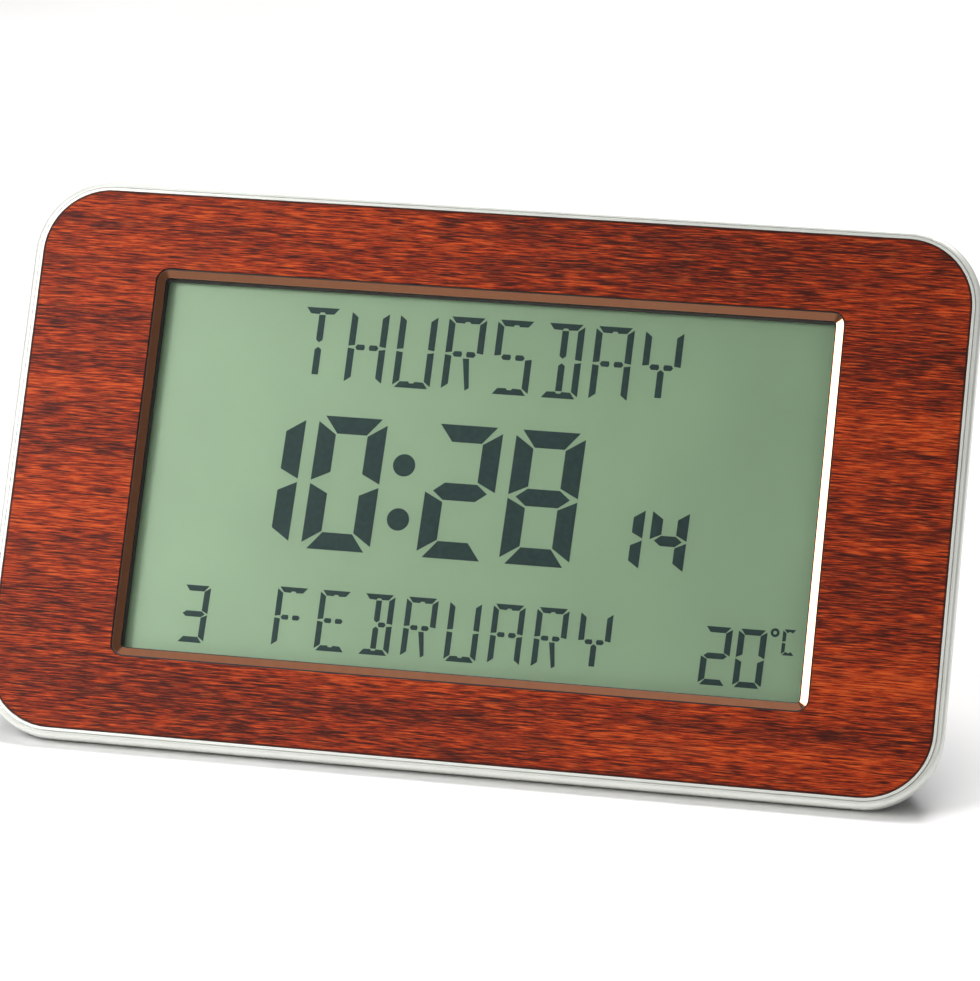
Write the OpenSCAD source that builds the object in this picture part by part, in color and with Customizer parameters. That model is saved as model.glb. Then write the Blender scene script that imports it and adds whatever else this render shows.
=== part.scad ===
// Desk clock with calendar: a wood-look face plate in a silver rim, a large
// LCD behind a sloped window ring, a tapered rear housing with battery bay
// and setting buttons, and a fold-out stand.
// Pieces are drawn in face coordinates: X right, Y back from the front of the
// face plate, Z up along the plate from its centre. lean_back() then stands
// the clock on the table, with the origin under the middle of its footprint.

/* [Face plate] */
// Width of the wood-look face plate
plate_w = 205.6; // [204:0.2:230]
// Height of the face plate
plate_h = 120.2; // [119:0.2:140]
// Corner radius of the face plate
plate_r = 14.5; // [14:0.5:18]
// Thickness of the face plate
plate_t = 1.5; // [1:0.1:1.8]

/* [Front frame] */
// Width of the silver rim seen outside the plate
rim_w = 2.2; // [1.8:0.1:3]
// Width of the thin lip next to the plate
lip_w = 0.75; // [0.6:0.05:0.9]
// Depth of the rim from front to the seam with the rear housing
rim_depth = 4.4; // [4:0.1:6]
// Thickness of the frame's web behind the plate
web_t = 1.3; // [1:0.1:2]

/* [Window and display] */
// Width of the plate left and right of the window
side_border = 26.4; // [26:0.2:28]
// Width of the plate above and below the window
top_border = 16.7; // [16.4:0.1:18]
// Corner radius of the window
window_r = 3; // [2.6:0.1:4]
// How far the window ring slopes inwards on each side
slope_w = 2.4; // [1.6:0.1:2.4]
// Height of the plate's cut edge left bare above the ring
edge_show = 0.4; // [0.2:0.1:0.6]
// How much deeper the ring's inner edge lies than its outer edge
ring_drop = 0.9; // [0.5:0.1:1.2]
// Thickness of the clear lens
lens_t = 1; // [0.8:0.1:1.5]
// Thickness of each of the two LCD glasses
glass_t = 0.8; // [0.55:0.05:1.1]
// Thickness of the reflector film
reflector_t = 0.3; // [0.2:0.1:0.5]
// How far lens and glass reach past the window ring's opening
glass_lap = 4; // [3:0.1:4.4]

/* [Digits] */
// Height of the time digits
time_h = 29.6; // [24:0.1:31]
// Width of the time digits
time_w = 15.3; // [13:0.1:15.6]
// Stroke width of the time digits
time_stroke = 4.1; // [3:0.1:4.4]
// Slant of all digits in degrees
slant = 1.9; // [0:0.1:5]
// Thickness of the printed segments
segment_t = 0.06; // [0.04:0.01:0.08]

/* [Rear housing] */
// Depth of the clock from the plate to the back
body_d = 27; // [24.4:0.2:28.4]
// Lean of the face from upright, and slope of the housing's sides
lean = 31; // [29:0.5:32.5]
// Wall thickness of the rear housing
wall = 2; // [1.6:0.1:2.4]
// Radius of the housing's back edge
back_r = 3; // [2:0.5:3]
// How far the housing's sides lie inside the rim
seam_step = 0.4; // [0.2:0.1:0.6]
// How far the rubber feet stand out of the slope
foot_proud = 0.6; // [0.4:0.1:1]

/* [Stand] */
// Width of the stand leg
leg_w = 52; // [40:1:52]
// Thickness of the stand leg
leg_t = 5; // [4:0.2:5]
// Opening angle of the stand
stand_open = 50; // [45:1:55]
// Height of the hinge above the plate's centre
hinge_z = 10; // [4:1:12]
// Radius of the steel hinge pin
pin_r = 1.5; // [1:0.1:1.6]

/* [Buttons] */
// Radius of a setting button
button_r = 4; // [3:0.1:4.4]
// Travel of a button
button_travel = 0.6; // [0.4:0.1:0.8]
// Distance between buttons
button_pitch = 15; // [14:0.5:16]
// Height of the button row above the plate's centre
button_z = 31; // [28:0.5:34]

/* [Batteries] */
// Diameter of a cell
cell_d = 14.5; // [13.5:0.1:14.5]
// Length of a cell with its nub
cell_l = 50.5; // [49.5:0.1:50.5]
// Height of the middle of the battery bay
bay_z = -8; // [-12:1:-4]
// Thickness of the battery door
door_t = 1.95; // [1.6:0.05:2]

/* [Clearances] */
// Gap between the plate and the rim's lip
plate_gap = 0.15; // [0.1:0.05:0.25]
// Gap between fixed pieces that drop into each other
fit_gap = 0.25; // [0.15:0.05:0.3]
// Gap on each side of a sliding piece
slide_gap = 0.15; // [0.1:0.05:0.25]
// Running clearance of the hinge pin in radius
pin_gap = 0.05; // [0.02:0.01:0.1]

/* [Hidden] */
fine = 64;
eps = 0.01;
far = 150;

// Depths of the layers, from the front of the plate
web_back = plate_t + web_t;
lens_back = web_back + lens_t;
lcd_front = lens_back + segment_t + 0.04;
glass_mid = lcd_front + glass_t;
glass_back = glass_mid + glass_t;
stack_back = glass_back + reflector_t;
holder_ledge = 2.2;
board_front = stack_back + holder_ledge;
board_t = 1.6;
board_back = board_front + board_t;

// Display outlines
window_w = plate_w - 2 * side_border;
window_h = plate_h - 2 * top_border;
ring_open_w = window_w - 2 * slope_w;
ring_open_h = window_h - 2 * slope_w;
glass_w = ring_open_w + 2 * glass_lap;
glass_top = ring_open_h / 2 + glass_lap - 0.5;
contact_ledge = 3.5;
glass_bottom = -ring_open_h / 2 - glass_lap - 1.5;
rear_glass_bottom = glass_bottom + contact_ledge;
holder_wall = 2;
holder_w = glass_w + 2 * (fit_gap + holder_wall);
holder_top = glass_top + fit_gap + holder_wall;
holder_bottom = glass_bottom - fit_gap - holder_wall;
ledge_w = 8;

// Slope of the housing: offset of its outside from the plate's outline
slope_run = tan(lean);
seam_y = rim_depth;
seam_o = rim_w - seam_step;
function outer_o(y) = seam_o - (y - seam_y) * slope_run;
function inner_o(y) = outer_o(y) - wall / cos(lean);
back_o = outer_o(body_d);
back_in = body_d - wall;

// Table plane in face coordinates: it crosses the plate's plane at table_z
table_z = -plate_h / 2 - outer_o(0) - foot_proud / cos(lean);
function table_at(y) = table_z + y * slope_run;

// Fastening points near the corners
corner_x = plate_w / 2 - 18.3;
corner_z = plate_h / 2 - 17.1;
frame_boss_top = 12;
screw_shank_r = 1.5;
thread_gap = 0.02;
counterbore_r = 3.2;
counterbore_depth = 8;
column_wall = 1.4;

// Hinge and stand, drawn folded and then swung open
barrel_r = 3.2;
leg_face = body_d - 0.2;
hinge_y = leg_face - barrel_r;
recess_y = hinge_y - barrel_r - 0.4;
recess_w = leg_w + 2 * fit_gap + 0.2;
heel = 4;
recess_top = hinge_z + norm([barrel_r, barrel_r + heel]) + 0.4;
recess_wall = 2;
pin_seat = 1.8;
pad_h = 1.2;
leg_reach = (hinge_z - table_at(hinge_y)) / (cos(stand_open) + slope_run * sin(stand_open));

// Battery bay and its sliding door
cell_gap = 0.25;
contact_t = 0.4;
spring_space = 6.2;
bay_l = cell_l + spring_space + 2 * contact_t;
bay_x1 = plate_w / 2 + back_o - 2.5;
bay_x0 = bay_x1 - bay_l;
bay_wall = 1.5;
bay_floor_t = 1.2;
bay_half = cell_d + 2 * cell_gap + 0.5;
door_front = body_d - door_t;
door_room = 0.65;
cell_y = door_front - door_room - cell_d / 2;
bay_floor = cell_y - cell_d / 2 - 0.1;
bay_front = bay_floor - bay_floor_t;
upper_z = bay_z + cell_d / 2 + cell_gap;
lower_z = bay_z - cell_d / 2 - cell_gap;
spring_wire_r = 0.35;
spring_turns = 4;
spring_l = spring_space - 2 * spring_wire_r - 0.1;
spring_r0 = 5;
spring_r1 = 3.4;
door_half = bay_half + 2;
rail_half = door_half + 1.1;
rail_t = 1.1;
door_x0 = bay_x0 - 1.4;

// The stand is in the middle, or further left where the battery door needs the room
stand_wall = 1.3;
pin_half = recess_w / 2 + pin_seat;
stand_x = min(0, door_x0 - slide_gap - stand_wall - pin_half);

// Buttons, switches and their board
button_names = ["mode", "set", "up", "down", "unit"];
flange_r = button_r + 1.2;
flange_t = 1;
button_proud = 1;
flange_back = back_in - 0.1;
flange_front = flange_back - flange_t;
plunger_r = 1.75;
plunger_back = flange_front - 0.8;
switch_size = 6;
switch_h = 3.5;
switch_back = plunger_back - 0.6;
button_board_back = switch_back - switch_h;
button_board_t = 1.4;
button_board_h = 13;
switch_well = 1.6;
button_board_front = button_board_back - button_board_t;
board_post_r = 2.8;
board_post_x = 2 * button_pitch + flange_r + board_post_r + 1;
button_board_w = 2 * (board_post_x + board_post_r);
function button_x(i) = (i - 2) * button_pitch;

// Small screws of the holder and the boards, and the bosses they go into
small_r = 1;
small_head_r = 1.9;
small_head_h = 1.2;
boss_r = 2.6;
holder_pitch = 60;

// Main board and zebra strip
board_x0 = -glass_w / 2 + 3;
board_x1 = bay_x0 - 4.5;
zebra_x0 = board_x0 + 5;
zebra_x1 = board_x1 - 4.5;
zebra_h = 2;
zebra_z = rear_glass_bottom - contact_ledge / 2;
board_z0 = glass_bottom - 0.5;
board_z1 = 8;
board_inset = 2.9;
board_row_z = board_z0 + 9;

// Air slots over the temperature sensor
vent_x = board_x0 + 13;
vent_z = -6;
vent_w = 18;
vent_h = 1.4;
vent_pitch = 3.2;
vent_count = 6;

// Leads from the battery contacts to the main board
lead_r = 0.6;
lead_y = cell_y - 3.6;
lead_side = cell_d / 2 + 0.5;

// Rubber feet under the front edge
foot_w = 18;
foot_l = 8;
foot_t = 1.4;
foot_run = 4;
foot_x = plate_w / 2 - 26;

// Footprint, for the origin
back_top_z = plate_h / 2 + back_o;
front_y = -(plate_h / 2 + lip_w) * sin(lean);
foot_y = hinge_y + leg_reach * sin(stand_open);
foot_z = hinge_z - leg_reach * cos(stand_open);
rear_y = max(back_top_z * sin(lean) + body_d * cos(lean), foot_z * sin(lean) + foot_y * cos(lean));
stand_height = -table_z * cos(lean);

wood = "#9c3a1b";
silver = "#c9ccc2";
lcd_green = "#9db597";
ink = "#3a4e4a";
charcoal = "#303234";
board_green = "#1f6b3c";
steel = "#b9bcc0";
brass = "#c8a858";

// Stands face-coordinate pieces on the table
module lean_back() {
    translate([0, -(front_y + rear_y) / 2, stand_height])
        rotate([-lean, 0, 0])
            children();
}

// Extrudes a drawing in X and Z from depth y0 back to y1
module slab(y0, y1) {
    translate([0, y1, 0]) rotate([90, 0, 0]) linear_extrude(y1 - y0) children();
}

// Rounded rectangle with true arcs, centred
module rounded(w, h, r) {
    square([w - 2 * r, h], center = true);
    square([w, h - 2 * r], center = true);
    for (x = [-1, 1], z = [-1, 1])
        translate([x * (w / 2 - r), z * (h / 2 - r)]) circle(r, $fn = fine);
}

// Plain box between two corners given in face coordinates
module block(x0, x1, y0, y1, z0, z1) {
    translate([x0, y0, z0]) cube([x1 - x0, y1 - y0, z1 - z0]);
}

// Round bar along Y
module post(x, z, y0, y1, r) {
    translate([x, y1, z]) rotate([90, 0, 0]) cylinder(r = r, h = y1 - y0, $fn = fine);
}

// Sweeps a profile (outward offset, depth) round a rounded rectangle
module sweep_round(w, h, r) {
    for (side = [0, 180]) rotate([0, side, 0])
        translate([w / 2, 0, 0]) linear_extrude(h - 2 * r, center = true) children();
    for (side = [90, 270]) rotate([0, side, 0])
        translate([h / 2, 0, 0]) linear_extrude(w - 2 * r, center = true) children();
    for (k = [0:3]) {
        x = k < 2 ? 1 : -1;
        z = (k == 1 || k == 2) ? 1 : -1;
        translate([x * (w / 2 - r), 0, z * (h / 2 - r)]) rotate([0, -90 * k, 0])
            rotate([-90, 0, 0]) rotate_extrude(angle = 90, $fn = fine)
                translate([r, 0]) children();
    }
}

// Everything nearer than y to the front and outside offset o, as a tapered block
module tapered_profile(y0, y1, shrink, edge_r) {
    top_o = outer_o(y1) - shrink;
    centre_o = top_o + edge_r * slope_run - edge_r / cos(lean);
    start_o = outer_o(y0) - shrink;
    intersection() {
        union() {
            polygon([
                [-plate_r, y0], [start_o, y0],
                [centre_o + edge_r * cos(lean), y1 - edge_r + edge_r * sin(lean)],
                [centre_o, y1], [-plate_r, y1]
            ]);
            translate([centre_o, y1 - edge_r]) circle(edge_r, $fn = fine);
        }
        translate([-plate_r, y0]) square([plate_r + rim_w, y1 - y0]);
    }
}

module tapered_block(y0, y1, shrink, edge_r) {
    sweep_round(plate_w, plate_h, plate_r) tapered_profile(y0, y1, shrink, edge_r);
    slab(y0, y1) square([plate_w - 2 * plate_r, plate_h - 2 * plate_r], center = true);
}

module housing_outside() {
    tapered_block(seam_y, body_d, 0, back_r);
}

module housing_inside() {
    tapered_block(seam_y - eps, back_in, wall / cos(lean), back_r - 1);
}

// ---- Front ----

module wood_plate() {
    color(wood) slab(0, plate_t) difference() {
        rounded(plate_w, plate_h, plate_r);
        rounded(window_w, window_h, window_r);
    }
}

// Rim section: thin lip, fine groove, then an outer band with a rounded edge
module rim_profile() {
    groove_w = 0.2;
    groove_d = 0.5;
    band_x = lip_w + groove_w;
    band_r = rim_w - band_x;
    band_y = band_r + groove_d / 4;
    translate([plate_gap, 0]) square([lip_w - plate_gap, web_back]);
    translate([lip_w - eps, groove_d]) square([groove_w + 2 * eps, rim_depth - groove_d]);
    intersection() {
        translate([band_x, band_y]) circle(band_r, $fn = fine);
        translate([band_x, 0]) square([band_r, band_y]);
    }
    translate([band_x, band_y - eps]) square([band_r, rim_depth - band_y + eps]);
}

module front_frame() {
    color(silver) {
        difference() {
            union() {
                sweep_round(plate_w, plate_h, plate_r) rim_profile();
                slab(plate_t, web_back) rounded(plate_w + 2 * lip_w, plate_h + 2 * lip_w, plate_r + lip_w);
            }
            slab(0, rim_depth) rounded(window_w, window_h, window_r);
        }
        for (x = [-1, 1], z = [-1, 1]) difference() {
            post(x * corner_x, z * corner_z, web_back - eps, frame_boss_top, counterbore_r);
            post(x * corner_x, z * corner_z, web_back + 1.5, frame_boss_top + eps, screw_shank_r + thread_gap);
        }
        for (p = holder_points()) difference() {
            post(p[0], p[1], web_back - eps, stack_back, boss_r);
            post(p[0], p[1], web_back + 0.4, stack_back + eps, small_r + thread_gap);
        }
    }
}

// Bright ring that slopes from the plate's edge down to the lens
module window_ring() {
    shade_gap = 0.05;
    color(silver) sweep_round(window_w, window_h, window_r) polygon([
        [-shade_gap, edge_show], [-slope_w, edge_show + ring_drop], [-slope_w, web_back],
        [-shade_gap, web_back]
    ]);
}

module display_lens() {
    color("#dfe8df", 0.3) block(-glass_w / 2, glass_w / 2, web_back, lens_back, glass_bottom, glass_top);
}

module lcd_front_glass() {
    color(lcd_green) block(-glass_w / 2, glass_w / 2, lcd_front, glass_mid, glass_bottom, glass_top);
}

module lcd_rear_glass() {
    color("#c6d4c4") block(-glass_w / 2, glass_w / 2, glass_mid, glass_back, rear_glass_bottom, glass_top);
}

module lcd_reflector() {
    color("#d8dcd2") block(-glass_w / 2, glass_w / 2, glass_back, stack_back, rear_glass_bottom, glass_top);
}

// Corners of one segment of a w by h digit, before it is slanted.
// Segments count clockwise from the top, then the middle one last.
function segment_shape(s, w, h, t) =
    let (c = t * 0.32, g = t * 0.06, m = h / 2, b = t * 0.93, tip = t * 0.41)
    s == 0 ? [[c, h], [w - c, h], [w - t - g, h - b], [t + g, h - b]] :
    s == 1 ? [[w, h - c], [w, m + g * 1.5], [w - t, m + b / 2 + g * 2], [w - t, h - b - g]] :
    s == 2 ? [[w, c], [w, m - g * 1.5], [w - t, m - b / 2 - g * 2], [w - t, b + g]] :
    s == 3 ? [[c, 0], [w - c, 0], [w - t - g, b], [t + g, b]] :
    s == 4 ? [[0, c], [0, m - g * 1.5], [t, m - b / 2 - g * 2], [t, b + g]] :
    s == 5 ? [[0, h - c], [0, m + g * 1.5], [t, m + b / 2 + g * 2], [t, h - b - g]] :
    [[tip, m], [t, m + b / 2], [w - t, m + b / 2], [w - tip, m], [w - t, m - b / 2], [t, m - b / 2]];

// Lit segments of the figures 0 to 9
lit = [
    [0, 1, 2, 3, 4, 5], [1, 2], [0, 1, 3, 4, 6], [0, 1, 2, 3, 6], [1, 2, 5, 6],
    [0, 2, 3, 5, 6], [0, 2, 3, 4, 5, 6], [0, 1, 2], [0, 1, 2, 3, 4, 5, 6], [0, 1, 2, 3, 5, 6]
];

module digit(figure, x, z, w, h, t) {
    for (s = lit[figure]) slab(lcd_front - segment_t, lcd_front)
        polygon([for (p = segment_shape(s, w, h, t)) [x + p[0] + p[1] * tan(slant), z + p[1]]]);
}

// Time, seconds, day of the month and temperature, as plain numbers
module lcd_digits() {
    time_x = -55.9;
    time_z = -1.2 - time_h / 2;
    time_gap = 2.95;
    time_step = time_w + time_gap;
    colon_gap_left = 2.6;
    colon_gap_right = 4.8;
    colon_x = time_x + 2 * time_step + colon_gap_left;
    minutes_x = colon_x + colon_gap_right;
    seconds_gap = 4.1;
    seconds_x = minutes_x + 2 * time_step + seconds_gap;
    seconds_z = time_z + 0.4;
    seconds_w = 8;
    seconds_h = 14.2;
    seconds_stroke = 2.4;
    seconds_step = seconds_w + 1.6;
    row_w = 6.1;
    row_h = 12.6;
    row_stroke = 1.35;
    row_gap = 1.3;
    row_step = row_w + row_gap;
    row_margin = 2.4;
    day_margin = 11.1;
    degrees_margin = 22.2;
    row_z = row_margin - ring_open_h / 2;
    day_x = day_margin - ring_open_w / 2;
    degrees_x = ring_open_w / 2 - degrees_margin;
    color(ink) {
        digit(1, time_x, time_z, time_w, time_h, time_stroke);
        digit(0, time_x + time_step, time_z, time_w, time_h, time_stroke);
        digit(2, minutes_x, time_z, time_w, time_h, time_stroke);
        digit(8, minutes_x + time_step, time_z, time_w, time_h, time_stroke);
        for (part = [0.67, 0.265])
            post(colon_x, time_z + part * time_h, lcd_front - segment_t, lcd_front, time_h / 12);
        digit(1, seconds_x, seconds_z, seconds_w, seconds_h, seconds_stroke);
        digit(4, seconds_x + seconds_step, seconds_z, seconds_w, seconds_h, seconds_stroke);
        digit(3, day_x, row_z, row_w, row_h, row_stroke);
        digit(2, degrees_x, row_z, row_w, row_h, row_stroke);
        digit(0, degrees_x + row_step, row_z, row_w, row_h, row_stroke);
    }
}

// Fastening points of the LCD holder, three along the top and three below
function holder_points() = [
    for (x = [-1, 0, 1]) [x * holder_pitch, holder_top + boss_r],
    for (x = [-1, 0, 1]) [x * holder_pitch, holder_bottom - boss_r]
];

// Frame that presses lens, glasses and zebra strip against the front
module lcd_holder() {
    ear_r = boss_r + 0.8;
    color(charcoal) difference() {
        union() {
            block(-holder_w / 2, holder_w / 2, web_back, board_front, holder_bottom, holder_top);
            for (p = holder_points()) post(p[0], p[1], stack_back, board_front, ear_r);
        }
        block(-glass_w / 2 - fit_gap, glass_w / 2 + fit_gap, web_back - eps, stack_back,
            glass_bottom - fit_gap, glass_top + fit_gap);
        block(-glass_w / 2 + ledge_w, glass_w / 2 - ledge_w, web_back, board_front + eps,
            rear_glass_bottom + ledge_w, glass_top - ledge_w);
        block(zebra_x0 - fit_gap, zebra_x1 + fit_gap, web_back, board_front + eps,
            zebra_z - zebra_h / 2 - fit_gap, zebra_z + zebra_h / 2 + fit_gap);
        for (p = holder_points()) {
            post(p[0], p[1], web_back, board_front + eps, small_r + 0.1);
            post(p[0], p[1], web_back - eps, stack_back, boss_r + thread_gap);
        }
        for (p = board_points())
            post(p[0], p[1], stack_back + 0.2, board_front + eps, small_r + thread_gap);
        bay_shape(bay_front - fit_gap, fit_gap);
    }
}

// Pan-head screw pointing to the front, head seat at depth y
module screw(x, z, y, shank_r, length, head_r, head_h) {
    difference() {
        union() {
            post(x, z, y - length, y + eps, shank_r);
            post(x, z, y, y + head_h, head_r);
        }
        for (turn = [0, 90]) translate([x, y + head_h, z]) rotate([0, turn, 0])
            cube([head_r * 1.2, head_h, shank_r * 0.5], center = true);
    }
}

// Small pan-head screw, used for the holder and both boards
module small_screw(x, z, y, length) {
    screw(x, z, y, small_r, length, small_head_r, small_head_h);
}

module holder_screws() {
    color(steel) for (p = holder_points()) small_screw(p[0], p[1], board_front, board_front - web_back - 0.6);
}

module zebra_strip() {
    color("#e58fa0")
        block(zebra_x0, zebra_x1, glass_mid, board_front, zebra_z - zebra_h / 2, zebra_z + zebra_h / 2);
}

// ---- Electronics ----

// Screws of the main board: one above, three along the lower edge
function board_points() = [
    [board_x0 + board_inset, board_z1 - board_inset], [board_x0 + board_inset, board_row_z],
    [(board_x0 + board_x1) / 2, board_row_z], [board_x1 - board_inset, board_row_z]
];

module main_board() {
    notch_r = 4;
    color(board_green) difference() {
        block(board_x0, board_x1, board_front, board_back, board_z0, board_z1);
        for (p = board_points()) post(p[0], p[1], board_front - eps, board_back + eps, small_r + 0.2);
        post(board_x1, board_z1, board_front - eps, board_back + eps, notch_r);
    }
}

module board_screws() {
    color(steel) for (p = board_points())
        small_screw(p[0], p[1], board_back, board_back - stack_back - 0.4);
}

// Epoxy blob over the bare clock chip
module controller_chip() {
    x = -30;
    z = -14;
    r = 7;
    h = 1.6;
    dome = (r * r + h * h) / (2 * h);
    color("#151515") intersection() {
        translate([x, board_back + h - dome, z]) sphere(dome, $fn = 3 * fine);
        post(x, z, board_back, board_back + h, r);
    }
}

// Can of the 32 kHz crystal, lying on the board, with its two wires
module quartz_crystal() {
    x = -50;
    z = -20;
    r = 1.05;
    can_l = 6;
    wire_l = 2;
    color(steel) translate([x, board_back + r, z]) rotate([0, 90, 0]) {
        cylinder(r = r, h = can_l, $fn = 32);
        for (side = [-0.5, 0.5]) translate([0, side, -wire_l]) cylinder(r = 0.18, h = wire_l + eps, $fn = 24);
    }
}

// Small chip resistors and capacitors in two rows
module smd_parts() {
    x0 = -16;
    z0 = -22;
    pitch_x = 5;
    pitch_z = 6;
    size = [2, 0.9, 1.2];
    color("#b9a27c") for (i = [0:3], k = [0:1])
        translate([x0 + pitch_x * i, board_back, z0 + pitch_z * k]) cube(size);
}

// Thermistor bead on two legs behind the air slots
module temperature_sensor() {
    leg_x = 1.2;
    reach = 6;
    bead_r = 1.1;
    bead_l = 3.6;
    color("#25303a") {
        for (side = [-1, 1]) post(vent_x + side * leg_x, vent_z, board_back, board_back + reach, 0.25);
        translate([vent_x, board_back + reach, vent_z]) rotate([0, 90, 0])
            cylinder(r = bead_r, h = bead_l, center = true, $fn = 32);
    }
}

// Outline of a strip of thickness t along a route, with mitred bends
function strip(route, t) =
    let (
        last = len(route) - 1,
        run = [for (i = [1:last]) (route[i] - route[i - 1]) / norm(route[i] - route[i - 1])],
        side = [for (i = [0:last]) let (a = run[max(i - 1, 0)], b = run[min(i, last - 1)])
            [-(a[1] + b[1]), a[0] + b[0]] / (1 + a * b) * t / 2]
    )
    concat([for (i = [0:last]) route[i] + side[i]], [for (i = [last:-1:0]) route[i] - side[i]]);

// Flat cable from the main board to the button board
module ribbon_cable() {
    t = 0.5;
    w = 9;
    slack = 3;
    lap = 5;
    route = [
        [board_back + t / 2, board_z1 - 2 * lap], [board_back + t / 2, board_z1 - lap],
        [board_back + slack, board_z1 + 2], [button_board_front - slack, button_z - 2 * lap],
        [button_board_front - t / 2, button_z - lap], [button_board_front - t / 2, button_z]
    ];
    color("#8d9299") translate([button_x(0.5) - w / 2, 0, 0]) rotate([0, 90, 0])
        linear_extrude(w) polygon(strip([for (p = route) [-p[1], p[0]]], t));
}

module button_board() {
    color(board_green) difference() {
        block(-button_board_w / 2, button_board_w / 2, button_board_front, button_board_back,
            button_z - button_board_h / 2, button_z + button_board_h / 2);
        for (x = [-1, 1])
            post(x * board_post_x, button_z, button_board_front - eps, button_board_back + eps, small_r + 0.2);
    }
}

module button_board_screws() {
    grip = 3;
    color(steel) for (x = [-1, 1])
        translate([x * board_post_x, button_board_front, button_z]) mirror([0, 1, 0])
            small_screw(0, 0, 0, button_board_t + grip);
}

module switch_bodies() {
    half = switch_size / 2;
    color("#1c1c1e") for (i = [0:4]) difference() {
        block(button_x(i) - half, button_x(i) + half, button_board_back, switch_back,
            button_z - half, button_z + half);
        post(button_x(i), button_z, switch_back - switch_well, switch_back + eps, plunger_r + 0.1);
    }
}

// Stem of a switch, which rides up and down with its button
module plunger(i) {
    y0 = switch_back - switch_well + button_travel + 0.1;
    color("#e8e6df") post(button_x(i), button_z, y0, plunger_back, plunger_r);
}

// Domed cap with the flange that keeps it in the housing
module button(i) {
    x = button_x(i);
    top = body_d + button_proud;
    dome = 14;
    stem_r = 2.2;
    color("#3b3d40") union() {
        intersection() {
            post(x, button_z, flange_front, top, button_r);
            translate([x, top - dome, button_z]) sphere(dome, $fn = 96);
        }
        post(x, button_z, flange_front, flange_back, flange_r);
        post(x, button_z, plunger_back, flange_front + eps, stem_r);
    }
}

// ---- Rear ----

// Recess that takes the folded stand, larger by grow on each side
module recess_shape(grow, y0, y1) {
    half = recess_w / 2 + grow;
    block(stand_x - half, stand_x + half, y0, y1, -far, recess_top + grow);
}

// Outside of the battery bay from depth y0 to the back, larger by grow on each side
module bay_shape(y0, grow) {
    half = bay_half + bay_wall + grow;
    block(bay_x0 - bay_wall - grow, far, y0, body_d, bay_z - half, bay_z + half);
}

// Slot along the housing's right side in which the battery door slides
module door_slot() {
    g = slide_gap;
    block(door_x0 - g, far, door_front - g, body_d + 1, bay_z - door_half - g, bay_z + door_half + g);
    block(door_x0 - g, far, door_front - rail_t - g, door_front + g,
        bay_z - rail_half - g, bay_z + rail_half + g);
}

module battery_door() {
    grip_x = plate_w / 2 + back_o - 9;
    color("#4a4c4e") intersection() {
        difference() {
            union() {
                block(door_x0, far, door_front, body_d, bay_z - door_half, bay_z + door_half);
                for (side = [0, 1]) translate([0, 0, bay_z]) mirror([0, 0, side])
                    block(door_x0, far, door_front - rail_t, door_front, door_half - 1.6, rail_half);
            }
            for (i = [0:4]) block(grip_x - 2.4 * i, grip_x - 2.4 * i + 1.1, body_d - 0.6, body_d + 1,
                bay_z - 9, bay_z + 9);
        }
        housing_outside();
    }
}

// Column inside the housing that meets a boss of the front frame
module screw_column(x, z) {
    post(x, z, frame_boss_top, back_in + eps, counterbore_r + column_wall);
}

// Clearance hole and counterbore of one housing screw
module screw_hole(x, z) {
    post(x, z, frame_boss_top - eps, body_d + 1, screw_shank_r + 0.1);
    post(x, z, body_d - counterbore_depth, body_d + 1, counterbore_r);
}

// Tapered shell with battery bay, door rails, stand recess, screw columns,
// button wells and air slots
module rear_housing() {
    tongue_lap = 1;
    tongue_o = 0.5;
    tongue_in = inner_o(seam_y + tongue_lap) - 0.3;
    color(charcoal) difference() {
        union() {
            difference() {
                housing_outside();
                housing_inside();
            }
            sweep_round(plate_w, plate_h, plate_r) polygon([
                [tongue_in, web_back + 0.4], [tongue_o, web_back + 0.4],
                [tongue_o, seam_y + tongue_lap], [tongue_in, seam_y + tongue_lap]
            ]);
            intersection() {
                housing_outside();
                union() {
                    for (x = [-1, 1], z = [-1, 1]) screw_column(x * corner_x, z * corner_z);
                    recess_shape(recess_wall, recess_y - recess_wall, body_d);
                    bay_shape(bay_front, 0);
                    block(stand_x + recess_w / 2 + eps, far, door_front - rail_t - 2, body_d,
                        bay_z - rail_half - 1.6, bay_z + rail_half + 1.6);
                }
            }
            for (x = [-1, 1]) post(x * board_post_x, button_z, button_board_back, back_in + eps, board_post_r);
        }
        recess_shape(0, recess_y, body_d + 1);
        block(bay_x0, bay_x1, bay_floor, body_d, bay_z - bay_half, bay_z + bay_half);
        door_slot();
        for (x = [-1, 1], z = [-1, 1]) screw_hole(x * corner_x, z * corner_z);
        for (i = [0:4]) {
            post(button_x(i), button_z, back_in - 1, body_d + 1, button_r + slide_gap);
            post(button_x(i), button_z, body_d - 0.6, body_d + 1, button_r + 1);
        }
        for (x = [-1, 1])
            post(x * board_post_x, button_z, button_board_back - eps, back_in - 1, small_r + thread_gap);
        for (i = [0:vent_count - 1])
            translate([vent_x, 0, vent_z + vent_pitch * (i - (vent_count - 1) / 2)])
                block(-vent_w / 2, vent_w / 2, back_in - 1, body_d + 1, -vent_h / 2, vent_h / 2);
        translate([stand_x, hinge_y, hinge_z]) rotate([0, 90, 0])
            cylinder(r = pin_r + thread_gap, h = 2 * pin_half, center = true, $fn = fine);
        for (side = [-1, 1])
            translate([bay_x0 - bay_wall - 1, lead_y, bay_z + side * lead_side])
                rotate([0, 90, 0]) cylinder(r = lead_r + 0.2, h = bay_wall + 2, $fn = 32);
        foot_pockets();
    }
}

// Places a child on the sloped underside, Z square to the table
module on_underside(x, run) {
    y = seam_y + run * cos(lean);
    translate([x, y, -plate_h / 2 - outer_o(y)]) rotate([lean, 0, 0]) children();
}

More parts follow.
